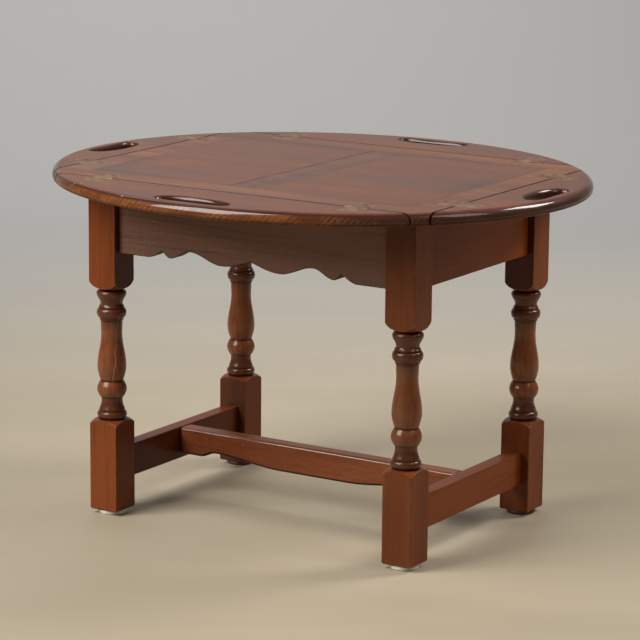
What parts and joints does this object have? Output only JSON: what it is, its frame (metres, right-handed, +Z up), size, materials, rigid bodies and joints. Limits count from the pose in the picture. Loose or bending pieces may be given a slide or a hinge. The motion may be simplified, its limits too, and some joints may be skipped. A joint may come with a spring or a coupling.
{
  "type": "butler tray table",
  "caption": "Oval butler tray table: a lift-off tray with hinged leaves and finger slots rests on a stand with turned legs, shaped aprons and an H stretcher.",
  "frame": {"origin": "on the floor under the middle of the table", "axes": "+Z up, +X along the long side of the oval, -Y towards the front with its shaped apron"},
  "size_m": [0.784, 0.698, 0.5006],
  "materials": {
    "tray_wood": "satin lacquer over reddish brown stain",
    "leaf_wood": "satin lacquer over reddish brown stain",
    "leg_wood": "satin lacquer over reddish brown stain",
    "apron_wood": "satin lacquer over dark brown stain",
    "stretcher_wood": "satin lacquer over reddish brown stain",
    "inner_wood": "bare planed wood",
    "brass": "aged, dull",
    "steel": "plain",
    "pad_plastic": "matte"
  },
  "bodies": {
    "stand": {"leg_front_left": "leg_wood", "leg_front_right": "leg_wood", "leg_rear_left": "leg_wood", "leg_rear_right": "leg_wood", "pad_front_left": "pad_plastic", "corner_block_front_left": "inner_wood", "corner_screw_front_left": "steel", "pad_front_right": "pad_plastic", "corner_block_front_right": "inner_wood", "corner_screw_front_right": "steel", "pad_rear_left": "pad_plastic", "corner_block_rear_left": "inner_wood", "corner_screw_rear_left": "steel", "pad_rear_right": "pad_plastic", "corner_block_rear_right": "inner_wood", "corner_screw_rear_right": "steel", "apron_front": "apron_wood", "apron_rear": "apron_wood", "apron_left": "apron_wood", "apron_right": "apron_wood", "stretcher_left": "stretcher_wood", "stretcher_right": "stretcher_wood", "stretcher_middle": "stretcher_wood"},
    "tray": {"tray_board": "tray_wood", "tray_batten_left": "inner_wood", "batten_screw_left_front": "steel", "batten_screw_left_rear": "steel", "tray_batten_right": "inner_wood", "batten_screw_right_front": "steel", "batten_screw_right_rear": "steel", "hinge_front_1_panel_plate": "brass", "hinge_front_1_pin": "steel", "hinge_front_2_panel_plate": "brass", "hinge_front_2_pin": "steel", "hinge_rear_1_panel_plate": "brass", "hinge_rear_1_pin": "steel", "hinge_rear_2_panel_plate": "brass", "hinge_rear_2_pin": "steel", "hinge_left_1_panel_plate": "brass", "hinge_left_1_pin": "steel", "hinge_left_2_panel_plate": "brass", "hinge_left_2_pin": "steel", "hinge_right_1_panel_plate": "brass", "hinge_right_1_pin": "steel", "hinge_right_2_panel_plate": "brass", "hinge_right_2_pin": "steel"},
    "front_leaf": {"leaf_front": "leaf_wood", "hinge_front_1_leaf_plate": "brass", "hinge_front_2_leaf_plate": "brass"},
    "rear_leaf": {"leaf_rear": "leaf_wood", "hinge_rear_1_leaf_plate": "brass", "hinge_rear_2_leaf_plate": "brass"},
    "left_leaf": {"leaf_left": "leaf_wood", "hinge_left_1_leaf_plate": "brass", "hinge_left_2_leaf_plate": "brass"},
    "right_leaf": {"leaf_right": "leaf_wood", "hinge_right_1_leaf_plate": "brass", "hinge_right_2_leaf_plate": "brass"}
  },
  "joints": [
    {"name": "tray_lift", "type": "slide", "parent": "stand", "child": "tray", "axis": [0, 0, 1], "range_m": [0, 0.12]},
    {"name": "front_leaf_hinge", "type": "hinge", "parent": "tray", "child": "front_leaf", "pos_m": [0, -0.237, 0.4988], "axis": [-1, 0, 0], "range_deg": [0, 90]},
    {"name": "rear_leaf_hinge", "type": "hinge", "parent": "tray", "child": "rear_leaf", "pos_m": [0, 0.237, 0.4988], "axis": [1, 0, 0], "range_deg": [0, 90]},
    {"name": "left_leaf_hinge", "type": "hinge", "parent": "tray", "child": "left_leaf", "pos_m": [-0.305, 0, 0.4988], "axis": [0, 1, 0], "range_deg": [0, 90]},
    {"name": "right_leaf_hinge", "type": "hinge", "parent": "tray", "child": "right_leaf", "pos_m": [0.305, 0, 0.4988], "axis": [0, -1, 0], "range_deg": [0, 90]}
  ]
}
